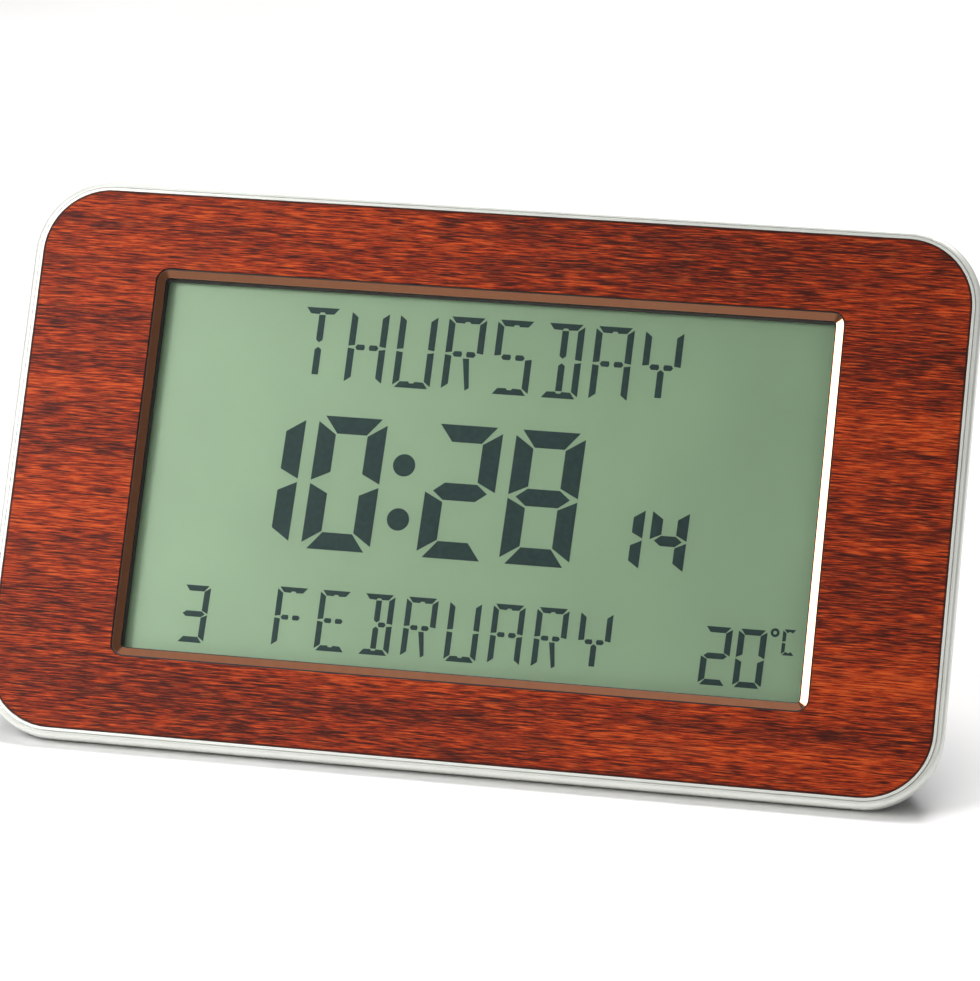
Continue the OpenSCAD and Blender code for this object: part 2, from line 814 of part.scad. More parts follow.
module foot_pockets() {
    for (x = [-1, 1]) on_underside(x * foot_x, foot_run + foot_l / 2)
        cube([foot_w + 2 * fit_gap, foot_l + 2 * fit_gap, 2 * (foot_t - foot_proud)], center = true);
}

module rubber_feet() {
    color("#242424") for (x = [-1, 1]) on_underside(x * foot_x, foot_run + foot_l / 2)
        translate([-foot_w / 2, -foot_l / 2, -foot_proud]) cube([foot_w, foot_l, foot_t]);
}

module housing_screws() {
    seat = body_d - counterbore_depth;
    color(steel) for (x = [-1, 1], z = [-1, 1])
        screw(x * corner_x, z * corner_z, seat, screw_shank_r, seat - web_back - 2.5, 2.9, 2.2);
}

// One cell along X: body, insulating end and nub; dir is +1 with the nub to the right
module cell(x, z, dir) {
    r = cell_d / 2;
    nub = 1;
    translate([x, cell_y, z]) rotate([0, 90 * dir, 0]) {
        cylinder(r = r, h = cell_l - nub - 0.6, $fn = fine);
        cylinder(r = r - 0.6, h = cell_l - nub, $fn = fine);
        cylinder(r = 2.7, h = cell_l, $fn = 32);
    }
}

module upper_cell() {
    color("#3f6f9c") cell(bay_x0 + contact_t + cell_l, upper_z, -1);
}

module lower_cell() {
    color("#3f6f9c") cell(bay_x1 - contact_t - cell_l, lower_z, 1);
}

// End plates: two at the left with solder tails, one bridge at the right
module battery_contacts() {
    h = 10;
    color(brass) {
        for (z = [upper_z, lower_z])
            block(bay_x0, bay_x0 + contact_t, cell_y - h / 2, cell_y + h / 2, z - h / 2, z + h / 2);
        block(bay_x1 - contact_t, bay_x1, cell_y - h / 2, cell_y + h / 2, lower_z - h / 2, upper_z + h / 2);
    }
}

// Point on a conical helix along X at turn t of n
function coil_point(t, n, length, r0, r1) =
    let (r = r0 + (r1 - r0) * t / n) [length * t / n, r * cos(360 * t), r * sin(360 * t)];

coil_steps = 12;

// Least gap between two turns, measured on points of the centre line
function coil_gap(length, r0, r1, wire_r, turns) =
    let (line = [for (i = [0:turns * coil_steps]) coil_point(i / coil_steps, turns, length, r0, r1)])
    min([for (i = [0:(turns - 1) * coil_steps], j = [i + coil_steps / 2:len(line) - 1])
        norm(line[i] - line[j])]) - 2 * wire_r;

// Unbroken wire along a conical helix, as one tube of six-sided rings
module coil(length, r0, r1, wire_r, turns) {
    steps = coil_steps;
    sides = 6;
    count = turns * steps;
    rings = [for (i = [0:count]) let (
        t = i / steps,
        p = coil_point(t, turns, length, r0, r1),
        out = [0, cos(360 * t), sin(360 * t)]
    ) for (k = [0:sides - 1]) p + wire_r * (cos(60 * k) * out + sin(60 * k) * [1, 0, 0])];
    skin = [for (i = [0:count - 1], k = [0:sides - 1], half = [0, 1]) let (
        a = i * sides + k,
        b = i * sides + (k + 1) % sides
    ) half == 0 ? [a, b, b + sides] : [a, b + sides, a + sides]];
    start_cap = [for (k = [1:sides - 2]) [0, k + 1, k]];
    last = count * sides;
    end_cap = [for (k = [1:sides - 2]) [last, last + k, last + k + 1]];
    polyhedron(rings, concat(skin, start_cap, end_cap));
}

echo(spring_gap = coil_gap(spring_l, spring_r0, spring_r1, spring_wire_r, spring_turns));

module battery_springs() {
    seat = contact_t + spring_wire_r + 0.02;
    color(steel) {
        translate([bay_x0 + seat, cell_y, lower_z])
            coil(spring_l, spring_r0, spring_r1, spring_wire_r, spring_turns);
        translate([bay_x1 - seat, cell_y, upper_z]) rotate([0, 0, 180])
            coil(spring_l, spring_r0, spring_r1, spring_wire_r, spring_turns);
    }
}

// Lead from a contact plate through the bay wall and down to the main board
module lead(z) {
    x = board_x1 - 3;
    translate([x, lead_y, z]) {
        rotate([0, 90, 0]) cylinder(r = lead_r, h = bay_x0 - x, $fn = 32);
        rotate([90, 0, 0]) cylinder(r = lead_r, h = lead_y - board_back, $fn = 32);
        sphere(lead_r, $fn = 32);
    }
}

module plus_lead() {
    color("#a02020") lead(bay_z + lead_side);
}

module minus_lead() {
    color("#202020") lead(bay_z - lead_side);
}

// ---- Stand ----

// Swings a leg drawn folded, hinge at the origin and foot towards -Z
module swung_open() {
    translate([stand_x, hinge_y, hinge_z]) rotate([stand_open, 0, 0]) children();
}

// Everything below a height above the table
module below(height) {
    translate([0, 0, table_z]) rotate([lean, 0, 0])
        translate([-far, -far, height - far]) cube([2 * far, 2 * far, far]);
}

// Outline of the leg from barrel to foot, with rounded lower corners
module leg_outline(inset) {
    corner = 6;
    length = leg_reach + 1.8 - inset;
    w = leg_w - 2 * inset;
    translate([-w / 2, -length + corner]) square([w, length - corner]);
    translate([-w / 2 + corner, -length]) square([w - 2 * corner, corner + eps]);
    for (x = [-1, 1]) translate([x * (w / 2 - corner), -length + corner]) circle(corner, $fn = fine);
}

// Leg with hinge barrel, stop heel and two pockets on the inner side
module leg_solid() {
    rim = 2.6;
    skin = 2.2;
    pocket_w = leg_w / 2 - rim - 1;
    difference() {
        union() {
            slab(barrel_r - leg_t, barrel_r) leg_outline(0);
            rotate([0, 90, 0]) cylinder(r = barrel_r, h = leg_w, center = true, $fn = fine);
            block(-leg_w / 2, leg_w / 2, -0.5, barrel_r, 0, barrel_r + heel);
        }
        rotate([-stand_open, 0, 0]) block(-far, far, -far, recess_y - hinge_y + 0.1, -far, far);
        for (x = [-pocket_w - 1, 1]) slab(-far, barrel_r - skin)
            translate([x, -leg_reach + 9]) square([pocket_w, leg_reach - 9 - barrel_r - 3]);
    }
}

module stand_leg() {
    color("#3a3c3e") difference() {
        swung_open() difference() {
            leg_solid();
            rotate([0, 90, 0]) cylinder(r = pin_r + pin_gap, h = leg_w + 1, center = true, $fn = fine);
        }
        below(pad_h);
    }
}

module stand_pad() {
    color("#1e1e1e") intersection() {
        swung_open() slab(barrel_r - leg_t + 0.6, barrel_r - 0.6) leg_outline(0.6);
        difference() {
            below(pad_h);
            below(0);
        }
    }
}

module stand_pin() {
    color(steel) translate([stand_x, hinge_y, hinge_z]) rotate([0, 90, 0])
        cylinder(r = pin_r, h = 2 * pin_half - 0.2, center = true, $fn = fine);
}

lean_back() wood_plate();
lean_back() front_frame();
lean_back() window_ring();
lean_back() display_lens();
lean_back() lcd_digits();
lean_back() lcd_front_glass();
lean_back() lcd_rear_glass();
lean_back() lcd_reflector();
lean_back() lcd_holder();
lean_back() holder_screws();
lean_back() zebra_strip();
lean_back() main_board();
lean_back() controller_chip();
lean_back() quartz_crystal();
lean_back() smd_parts();
lean_back() temperature_sensor();
lean_back() board_screws();
lean_back() ribbon_cable();
lean_back() rear_housing();
lean_back() housing_screws();
lean_back() rubber_feet();
lean_back() button_board();
lean_back() button_board_screws();
lean_back() switch_bodies();
for (i = [0:4]) {
    lean_back() button(i);
    lean_back() plunger(i);
}
lean_back() battery_door();
lean_back() upper_cell();
lean_back() lower_cell();
lean_back() battery_contacts();
lean_back() battery_springs();
lean_back() plus_lead();
lean_back() minus_lead();
lean_back() stand_leg();
lean_back() stand_pin();
lean_back() stand_pad();
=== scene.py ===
import math

import bpy
from mathutils import Matrix, Vector


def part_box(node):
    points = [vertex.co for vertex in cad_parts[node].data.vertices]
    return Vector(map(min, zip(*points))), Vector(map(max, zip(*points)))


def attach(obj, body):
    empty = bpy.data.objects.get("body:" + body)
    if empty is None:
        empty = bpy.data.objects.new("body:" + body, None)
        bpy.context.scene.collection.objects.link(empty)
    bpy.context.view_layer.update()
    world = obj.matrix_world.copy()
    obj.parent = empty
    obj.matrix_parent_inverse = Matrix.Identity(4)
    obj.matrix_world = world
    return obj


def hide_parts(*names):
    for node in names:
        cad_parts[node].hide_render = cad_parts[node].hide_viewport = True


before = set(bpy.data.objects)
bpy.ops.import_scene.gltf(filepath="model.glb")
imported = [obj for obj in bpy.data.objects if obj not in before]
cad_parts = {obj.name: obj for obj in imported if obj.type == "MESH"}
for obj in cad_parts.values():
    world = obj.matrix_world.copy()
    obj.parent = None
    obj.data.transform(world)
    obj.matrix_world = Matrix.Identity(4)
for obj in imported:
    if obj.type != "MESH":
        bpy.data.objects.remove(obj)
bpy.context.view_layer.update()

# ---- The view ----
# The clock leans back, so places on it are given along its face, in
# millimetres: right, back from the face, and up from the middle of the
# face plate. The camera stands a little to the right and above.

MM = 0.001
LEAN = math.radians(31)
RIGHT = Vector((1, 0, 0))
BACK = Vector((0, math.cos(LEAN), -math.sin(LEAN)))
UP = Vector((0, math.sin(LEAN), math.cos(LEAN)))
PLATE_T = 1.5
plate_low, plate_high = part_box("wood_plate")
FACE = (plate_low + plate_high) / 2 - BACK * PLATE_T * MM / 2


def at_face(right, back, up):
    """Place in the frame, in metres, of a point given along the face."""
    return FACE + (RIGHT * right + BACK * back + UP * up) * MM


def lay_on_face(piece, back):
    """Turns a piece drawn flat around the middle onto the face, at a depth in millimetres."""
    turn = Matrix((RIGHT, UP, -BACK)).transposed().to_4x4()
    piece.data.transform(Matrix.Translation(at_face(0, back, 0)) @ turn)


# The photograph's width, focal length and off-centre shift, in its pixels
PHOTO_SIDE = 981
PHOTO_FOCUS = 4272
PHOTO_SHIFT = (15.3, -5.8)
camera_turn = math.radians(12.18)
camera_rise = math.radians(20.02)
camera_far = 0.919
to_camera = Vector((
    math.sin(camera_turn) * math.cos(camera_rise),
    -math.cos(camera_turn) * math.cos(camera_rise),
    math.sin(camera_rise),
))
camera = bpy.data.objects.new("camera", bpy.data.cameras.new("camera"))
bpy.context.collection.objects.link(camera)
camera.location = FACE + to_camera * camera_far
camera.rotation_euler = (-to_camera).to_track_quat("-Z", "Y").to_euler()
camera.data.sensor_width = 36
camera.data.lens = camera.data.sensor_width * PHOTO_FOCUS / PHOTO_SIDE
camera.data.shift_x = PHOTO_SHIFT[0] / PHOTO_SIDE
camera.data.shift_y = PHOTO_SHIFT[1] / PHOTO_SIDE
camera.data.clip_start = 0.05
bpy.context.scene.camera = camera

# ---- Table top and light ----
# A plain white table, lit by a strong softbox above and behind it. The main
# softbox stands close by on the left of the clock, and weak ones above, in
# front and on the right lift the shadows. The room beyond is dim.


def paint(code):
    """Linear colour of a screen colour written as six hex digits."""
    parts = [int(code[k:k + 2], 16) / 255 for k in (0, 2, 4)]
    return (*(p / 12.92 if p <= 0.04045 else ((p + 0.055) / 1.055) ** 2.4 for p in parts), 1)


class Wire:
    """A shader socket that can stand in a Python sum: each operator adds one Math node."""

    def __init__(self, finish, socket):
        self.finish = finish
        self.socket = socket

    def maths(self, operation, *others):
        return self.finish.node("Math", {"operation": operation}, dict(enumerate((self, *others))))

    def __add__(self, other):
        return self.maths("ADD", other)

    def __sub__(self, other):
        return self.maths("SUBTRACT", other)

    def __mul__(self, other):
        return self.maths("MULTIPLY", other)

    def __rsub__(self, other):
        return self.finish.node("Math", {"operation": "SUBTRACT"}, {0: other, 1: self})

    __radd__ = __add__
    __rmul__ = __mul__


class Finish:
    """One material. node() adds any shader node, and the other calls are its common uses."""

    def __init__(self, name):
        self.material = bpy.data.materials.new(name)
        self.material.use_nodes = True
        self.tree = self.material.node_tree
        self.tree.nodes.clear()

    def node(self, kind, settings=None, values=None, output=0):
        """Adds a node, with a ramp's stops among its settings, and gives one of its outputs."""
        made = self.tree.nodes.new("ShaderNode" + kind)
        for name, value in (settings or {}).items():
            if name == "stops":
                stops = made.color_ramp.elements
                stops.remove(stops[1])
                for k, (place, code) in enumerate(value):
                    stop = stops.new(place) if k else stops[0]
                    stop.position = place
                    stop.color = paint(code)
            else:
                setattr(made, name, value)
        for name, value in (values or {}).items():
            if isinstance(value, Wire):
                self.tree.links.new(value.socket, made.inputs[name])
            else:
                made.inputs[name].default_value = value
        return Wire(self, made.outputs[output]) if made.outputs else None

    def grid(self, right=1, back=1, up=1):
        """Millimetres along the face, each direction packed closer by its factor."""
        place = self.node("TexCoord", output="Object")
        return self.node("Mapping", {"vector_type": "TEXTURE"}, {
            "Vector": place, "Location": FACE, "Rotation": (-LEAN, 0, 0),
            "Scale": (MM / right, MM / back, MM / up),
        })

    def along(self, axis):
        """Millimetres along one direction of the face: X right, Y back, Z up."""
        return self.node("SeparateXYZ", values={0: self.grid()}, output=axis)

    def noise(self, place, detail=2, rough=0.5):
        """Soft spots from 0 to 1, about one to each unit of place."""
        return self.node("TexNoise", values={
            "Vector": place, "Scale": 1, "Detail": detail, "Roughness": rough,
        })

    def ramp(self, amount, *stops):
        """Colour picked by amount between stops, each a place and a screen colour."""
        return self.node("ValToRGB", {"stops": stops}, {0: amount})

    def blend(self, amount, one, other):
        """Colour between one and other."""
        return self.node("Mix", {"data_type": "RGBA"}, {0: amount, 6: one, 7: other}, output=2)

    def step(self, amount, low, high):
        """0 below low and 1 above high, with a straight run between."""
        return self.node("MapRange", {"clamp": True}, {0: amount, 1: low, 2: high})

    def close(self, surface):
        """Makes surface the material's own."""
        self.node("OutputMaterial", values={"Surface": surface})

    def skin(self, values, relief=None, depth=0.0):
        """Ends the material in one surface. relief, from 0 to 1, is depth millimetres high."""
        if relief is not None:
            values["Normal"] = self.node("Bump", values={
                "Height": relief, "Distance": depth * MM, "Strength": 1,
            })
        self.close(self.node("BsdfPrincipled", values=values))


table_white = Finish("table_white")
table_cloud = table_white.noise(table_white.grid(0.01, 0.01, 0.01))
table_white.skin({
    "Base Color": table_white.ramp(table_cloud, (0.3, "f1f0ef"), (0.7, "f5f5f5")),
    "Roughness": 0.65,
})
TABLE = (2.4, 2.2)
TABLE_FRONT = -0.8
bpy.ops.object.select_all(action="DESELECT")
bpy.ops.mesh.primitive_plane_add(size=1, location=(0, TABLE_FRONT + TABLE[1] / 2, 0))
table_top = bpy.context.object
table_top.name = "table_top"
table_top.scale = (*TABLE, 1)
bpy.ops.object.transform_apply(location=True, rotation=False, scale=True)
table_top.data.materials.append(table_white.material)


def softbox(name, place, aim, size, watts):
    """A square area light at place, turned to aim, with its side in metres like both."""
    lamp = bpy.data.lights.new(name, "AREA")
    lamp.size = size
    lamp.energy = watts
    holder = bpy.data.objects.new(name, lamp)
    bpy.context.collection.objects.link(holder)
    holder.location = place
    holder.rotation_euler = (Vector(aim) - Vector(place)).to_track_quat("-Z", "Y").to_euler()


softbox("main_softbox", place=(-0.44, -0.33, 0.40), aim=(0, 0, 0.05), size=0.33, watts=3.05)
softbox("front_softbox", place=(-0.156, -0.71, 0.39), aim=(0, 0, 0.05), size=0.22, watts=0.35)
softbox("table_softbox", place=(0.1, 0.48, 1.15), aim=(0, 0.02, 0), size=0.62, watts=17)
softbox("overhead_softbox", place=(-0.24, -0.07, 1.3), aim=(0, 0, 0), size=0.8, watts=0.62)
softbox("side_softbox", place=(1.0, -0.75, 0.55), aim=(0.1, 0, 0.03), size=0.4, watts=1.5)
softbox("front_card", place=(-0.3, -1.4, 0), aim=(0, 0, 0.1), size=0.5, watts=0.22)
world = bpy.data.worlds.new("room")
world.use_nodes = True
room_light = world.node_tree.nodes["Background"].inputs
room_light["Color"].default_value = (1, 0.97, 0.94, 1)
room_light["Strength"].default_value = 0.14
bpy.context.scene.world = world
bpy.context.scene.view_settings.view_transform = "Standard"

# ---- Face plate ----
# A thin plate under a printed red-brown wood film with a satin lacquer. The
# grain runs sideways, in broad light and dark bands of fine, short streaks.

PLATE = (205.6, 120.2)
PLATE_R = 14.5
CUT_EDGE_AND_GAP_SHADE = 0.3


def dress(finish, *names):
    """Puts a finish on CAD nodes, which keep their own shape."""
    for name in names:
        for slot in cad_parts[name].material_slots:
            slot.material = finish.material


wood = Finish("wood_film")
bands = wood.noise(wood.grid(0.007, 1, 0.13), detail=3, rough=0.6)
streaks = wood.noise(wood.grid(0.14, 1, 2.3), detail=4, rough=0.65)
fibres = wood.noise(wood.grid(0.2, 1, 5.0), detail=2)
dusk = wood.step(wood.noise(wood.grid(0.05, 1, 0.33), detail=3, rough=0.6), 0.52, 0.72)
pores = wood.step(wood.noise(wood.grid(0.19, 1, 3.2), detail=3, rough=0.55), 0.53, 0.66)
glints = wood.step(wood.noise(wood.grid(0.16, 0.3, 3.8), detail=2), 0.57, 0.70)
contour = (wood.noise(wood.grid(0.007, 1, 0.12), detail=2) - 0.5).maths("ABSOLUTE")
lines = 1 - wood.step(contour, 0.002, 0.012)
tone = bands * 1.2 + streaks * 2.5 + fibres * 1.4 - 2.1
shade = wood.ramp(
    tone,
    (0.14, "3a1107"), (0.34, "681d09"), (0.50, "8f2c0c"), (0.66, "a9380f"), (0.86, "c6521d"),
)
shade = wood.blend(dusk * 0.45, shade, paint("4c1c14"))
shade = wood.blend(pores * 0.75, shade, paint("2c0e09"))
shade = wood.blend(glints * 0.5, shade, paint("d2602a"))
shade = wood.blend(lines * 0.55, shade, paint("2c0d08"))


def past(axis, half):
    """How far a place lies beyond half, measured from the middle along one axis."""
    outward = wood.along(axis).maths("ABSOLUTE") - half
    return outward.maths("MAXIMUM", 0)


# Distance out from the rectangle of the corners' middles, which is PLATE_R all along the edge
corner_x, corner_z = (past(axis, side / 2 - PLATE_R) for axis, side in zip("XZ", PLATE))
out_to = (corner_x * corner_x + corner_z * corner_z).maths("SQRT")
# The plate's outer rim is painted dark: the film's own dark cut edge, and painted shade in the gap
# at the frame.
edge = wood.step(out_to, PLATE_R - CUT_EDGE_AND_GAP_SHADE * 1.6, PLATE_R - CUT_EDGE_AND_GAP_SHADE * 0.6)
wood.skin({
    "Base Color": wood.blend(edge * 0.85, shade, paint("2a0d05")),
    "Roughness": 0.44 + fibres * 0.12,
    "Specular IOR Level": 0.16,
}, relief=fibres - pores * 0.5, depth=0.02)
dress(wood, "wood_plate")

# ---- Front frame ----
# The silver rim is one moulding with the web behind the plate. Its satin
# silver paint holds fine metal flakes.

silver_paint = Finish("silver_paint")
flakes = silver_paint.noise(silver_paint.grid(6, 6, 6), detail=2)
cloud = silver_paint.noise(silver_paint.grid(0.15, 0.15, 0.15), detail=2)
silver_paint.skin({
    "Base Color": silver_paint.ramp(flakes * 0.6 + cloud * 0.4, (0.3, "d4d7d0"), (0.7, "e4e6e0")),
    "Metallic": 0.3,
    "Roughness": 0.30 + cloud * 0.12,
}, relief=flakes, depth=0.003)
dress(silver_paint, "front_frame")

# ---- Window ring ----
# A warm-plated slope leads inwards from a thin strip painted dark, as painted
# shade in the gap beside the plate. It then drops as a wall and ends in a thin
# lip on the lens, both painted black as painted shade in the recess. The slope
# mirrors the softbox on one side and the dim room on the others.

WINDOW = (152.7, 86.7)
WINDOW_R = 2.95
RING_Y = 0.4
RING_EDGE = 0.3
RING_SLOPE = 1.65
RING_DROP = 0.6
RING_LIP = 0.42
LIP_T = 0.08
LENS_Y = 2.8
LENS_GAP = 0.1
RING_SMOOTH = math.radians(14)
SHADE_PAINT_EDGE = 0.03

bpy.ops.object.select_all(action="DESELECT")
bpy.ops.mesh.primitive_plane_add(size=MM)
ring = bpy.context.object
ring.name = "bright_ring"
ring.scale = (*WINDOW, 1)
bpy.ops.object.transform_apply(location=True, rotation=True, scale=True)
bpy.ops.object.mode_set(mode="EDIT")
bpy.ops.mesh.select_all(action="SELECT")
bpy.ops.mesh.bevel(offset=WINDOW_R * MM, segments=12, affect="VERTICES")
bpy.ops.mesh.select_all(action="SELECT")
bpy.ops.mesh.inset(thickness=RING_EDGE * MM)
bpy.ops.mesh.inset(thickness=RING_SLOPE * MM, depth=-RING_DROP * MM)
wall_h = LENS_Y - LENS_GAP - RING_Y - RING_DROP
bpy.ops.mesh.extrude_region_move(TRANSFORM_OT_translate={"value": (0, 0, -wall_h * MM)})
bpy.ops.mesh.inset(thickness=RING_LIP * MM)
bpy.ops.mesh.extrude_region_move(TRANSFORM_OT_translate={"value": (0, 0, -LIP_T * MM)})
bpy.ops.mesh.delete(type="ONLY_FACE")
bpy.ops.mesh.select_mode(type="EDGE")
bpy.ops.mesh.select_all(action="DESELECT")
bpy.ops.mesh.select_non_manifold()
bpy.ops.mesh.bridge_edge_loops()
bpy.ops.mesh.select_all(action="SELECT")
bpy.ops.mesh.normals_make_consistent(inside=False)
bpy.ops.object.mode_set(mode="OBJECT")
bpy.ops.object.shade_smooth_by_angle(angle=RING_SMOOTH)
lay_on_face(ring, RING_Y)

plated = Finish("warm_plating")
haze = plated.noise(plated.grid(0.4, 0.4, 0.4), detail=3)
depth_in = plated.along("Y")
slope_foot = RING_Y + RING_DROP
# Painted shade: the wall and the lip past the slope's foot are painted black, as the shade in the
# recess.
inner_painted_shade = plated.step(depth_in, slope_foot + SHADE_PAINT_EDGE, slope_foot + SHADE_PAINT_EDGE * 2)
# Painted shade: the thin strip at the ring's outer rim is painted dark, as the shade in the gap
# beside the plate.
outer_painted_shade = 1 - plated.step(depth_in, RING_Y + SHADE_PAINT_EDGE / 3, RING_Y + SHADE_PAINT_EDGE)
# Both painted shades take away the plating's metal and gloss.
painted_shade = inner_painted_shade + outer_painted_shade
warm = plated.ramp(haze, (0.3, "cc8b69"), (0.7, "d2926f"))
plated.skin({
    "Base Color": plated.blend(painted_shade, warm, paint("16100d")),
    "Metallic": 1 - painted_shade,
    "Roughness": 0.10 + haze * 0.06 + painted_shade * 0.4,
})
ring.data.materials.append(plated.material)
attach(ring, "clock")
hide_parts("window_ring")

# ---- Lens ----
# A clear, glossy sheet lies behind the ring and lets light through to the
# display. Only its gloss and a trace of tint show.

clear = Finish("clear_sheet")
gloss = clear.node("BsdfGlossy", values={"Color": (1, 1, 1, 1), "Roughness": 0.04})
see_through = clear.node("BsdfTransparent", values={"Color": (0.985, 0.995, 0.985, 1)})
facing = clear.node("Fresnel", values={"IOR": 1.45})
smear = clear.noise(clear.grid(0.03, 0.03, 0.03), detail=3)
glossy_part = facing * (0.7 + smear * 0.2)
clear.close(clear.node("MixShader", values={0: glossy_part, 1: see_through, 2: gloss}))
dress(clear, "display_lens")

# ---- Display ----
# Two thin glasses with a satin polariser in front and a silvery reflector
# film behind. Without a light of its own the display looks grey-green.

polariser = Finish("grey_green_display")
mottle = polariser.noise(polariser.grid(0.05, 0.05, 0.05), detail=4, rough=0.6)
mist = polariser.noise(polariser.grid(2, 2, 2), detail=2)
polariser.skin({
    "Base Color": polariser.ramp(mottle * 0.8 + mist * 0.2, (0.3, "accba5"), (0.7, "b2d2ab")),
    "Roughness": 0.42 + mist * 0.06,
    "Specular IOR Level": 1.0,
}, relief=mist, depth=0.002)
dress(polariser, "lcd_front_glass", "lcd_rear_glass")

film = Finish("reflector_film")
brush = film.noise(film.grid(8, 1, 0.2), detail=2)
film.skin({
    "Base Color": film.ramp(brush, (0.3, "b9bdb4"), (0.7, "d2d5cd")),
    "Metallic": 0.8,
    "Roughness": 0.35 + brush * 0.2,
})
dress(film, "lcd_reflector")

# ---- Figures and words ----
# Dark segments show the time and date. The figures are the clock's own
# part, and the words are spelt from bars in eight letter cells a row.

INK_Y = 3.87
INK_T = 0.05
SLANT = math.tan(math.radians(1))
DEGREE_SIGN = (67.3, -26.3)
DEGREE_R = 0.95
DEGREE_HOLE_R = 0.4

ink = Finish("display_ink")
spread = ink.noise(ink.grid(0.8, 0.8, 0.8), detail=3)
ink.skin({
    "Base Color": ink.ramp(spread, (0.3, "2c4646"), (0.7, "355150")),
    "Roughness": 0.42 + spread * 0.1,
    "Specular IOR Level": 0.3,
})
dress(ink, "lcd_digits")


def bar_shapes(w, h, t):
    """Outlines of the bars of one letter cell, w wide and h high, with strokes t thick."""
    cut = t * 0.35
    gap = t * 0.1
    half = t / 2
    mid_x = w / 2
    mid_z = h / 2

    def flipped(outline, across=False, over=False):
        return [(w - a if across else a, h - b if over else b) for a, b in outline]

    top = [
        (cut, h), (w - cut, h), (w - t - gap, h - t * 0.95), (mid_x + half, h - t),
        (mid_x + t * 0.3, h - t * 0.72), (mid_x - t * 0.3, h - t * 0.72), (mid_x - half, h - t),
        (t + gap, h - t * 0.95),
    ]
    side = [(0, h - cut), (0, mid_z + gap * 1.5), (t, mid_z + t * 0.3), (t, h - t - gap)]
    dash = [
        (t + gap, mid_z), (t * 1.4, mid_z + t * 0.42), (mid_x - t * 0.45, mid_z + t * 0.42),
        (mid_x - t * 0.3, mid_z), (mid_x - t * 0.45, mid_z - t * 0.42), (t * 1.4, mid_z - t * 0.42),
    ]
    stem = [
        (mid_x - half, h - t - gap), (mid_x + half, h - t - gap), (mid_x + half, mid_z + t * 0.75),
        (mid_x, mid_z + t * 0.35), (mid_x - half, mid_z + t * 0.75),
    ]
    leg = [
        (mid_x - t * 0.1, mid_z - t * 0.65), (mid_x + t * 0.85, mid_z - t * 0.65),
        (mid_x + t * 1.35, t * 0.6), (mid_x + t * 0.75, t * 0.2),
    ]
    return {
        "top": top, "bottom": flipped(top, over=True),
        "left_top": side, "left_low": flipped(side, over=True),
        "right_top": flipped(side, across=True), "right_low": flipped(side, across=True, over=True),
        "left_dash": dash, "right_dash": flipped(dash, across=True),
        "stem_top": stem, "stem_low": flipped(stem, over=True), "leg": leg,
    }


LEFT_SIDE = ["left_top", "left_low"]
RIGHT_SIDE = ["right_top", "right_low"]
DASHES = ["left_dash", "right_dash"]
STEM = ["stem_top", "stem_low"]
LETTERS = {
    "A": ["top"] + LEFT_SIDE + RIGHT_SIDE + DASHES,
    "B": ["top", "bottom", "right_dash"] + STEM + RIGHT_SIDE,
    "C": ["top", "bottom"] + LEFT_SIDE,
    "D": ["top", "bottom"] + STEM + RIGHT_SIDE,
    "E": ["top", "bottom"] + LEFT_SIDE + DASHES,
    "F": ["top"] + LEFT_SIDE + DASHES,
    "H": LEFT_SIDE + RIGHT_SIDE + DASHES,
    "R": ["top", "right_top", "leg"] + LEFT_SIDE + DASHES,
    "S": ["top", "bottom", "left_top", "right_low"] + DASHES,
    "T": ["top"] + STEM,
    "U": ["bottom"] + LEFT_SIDE + RIGHT_SIDE,
    "Y": ["left_top", "right_top", "stem_low"] + DASHES,
}


def spell(word, left, low, cell, stroke, pitch=0):
    """Outlines of a word in cells of one size, the first with its corner at left and low."""
    shapes = bar_shapes(*cell, stroke)
    return [
        [(left + k * pitch + a + b * SLANT, low + b) for a, b in shapes[bar]]
        for k, letter in enumerate(word) for bar in LETTERS[letter]
    ]


def disc(x, z, radius, count=20):
    """Outline of a disc with its middle at x, z."""
    turns = [math.tau * k / count for k in range(count)]
    return [(x + radius * math.cos(turn), z + radius * math.sin(turn)) for turn in turns]


def flat_piece(name, outlines, y, thickness, body, finish):
    """Thin flat piece on the face, at depth y, cut from outlines in millimetres.

    An outline inside another is a hole in it.
    """
    drawing = bpy.data.curves.new(name, "CURVE")
    drawing.dimensions = "2D"
    drawing.fill_mode = "BOTH"
    drawing.extrude = thickness * MM / 2
    for outline in outlines:
        spline = drawing.splines.new("POLY")
        spline.points.add(len(outline) - 1)
        for point, (a, b) in zip(spline.points, outline):
            point.co = (a * MM, b * MM, 0, 1)
        spline.use_cyclic_u = True
    piece = bpy.data.objects.new(name, drawing)
    bpy.context.collection.objects.link(piece)
    bpy.ops.object.select_all(action="DESELECT")
    piece.select_set(True)
    bpy.context.view_layer.objects.active = piece
    bpy.ops.object.convert(target="MESH")
    piece = bpy.context.object
    lay_on_face(piece, y)
    piece.data.materials.clear()
    piece.data.materials.append(finish.material)
    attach(piece, body)
    return piece


weekday = spell("THURSDAY", left=-43.3, low=21.0, cell=(8.4, 16.6), stroke=1.45, pitch=10.87)
month = spell("FEBRUARY", left=-41.7, low=-38.1, cell=(7.0, 13.3), stroke=1.25, pitch=9.56)
unit = spell("C", left=68.9, low=-31.0, cell=(3.0, 5.6), stroke=0.75)
degree = [disc(*DEGREE_SIGN, radius) for radius in (DEGREE_R, DEGREE_HOLE_R)]
words = weekday + month + unit + degree
calendar_words = flat_piece("calendar_words", words, INK_Y, INK_T, "clock", ink)

# ---- Display holder ----
# A black frame presses lens, glasses and zebra strip to the front, held by
# small screws. The strip is layered silicone, dark and pink by turns.

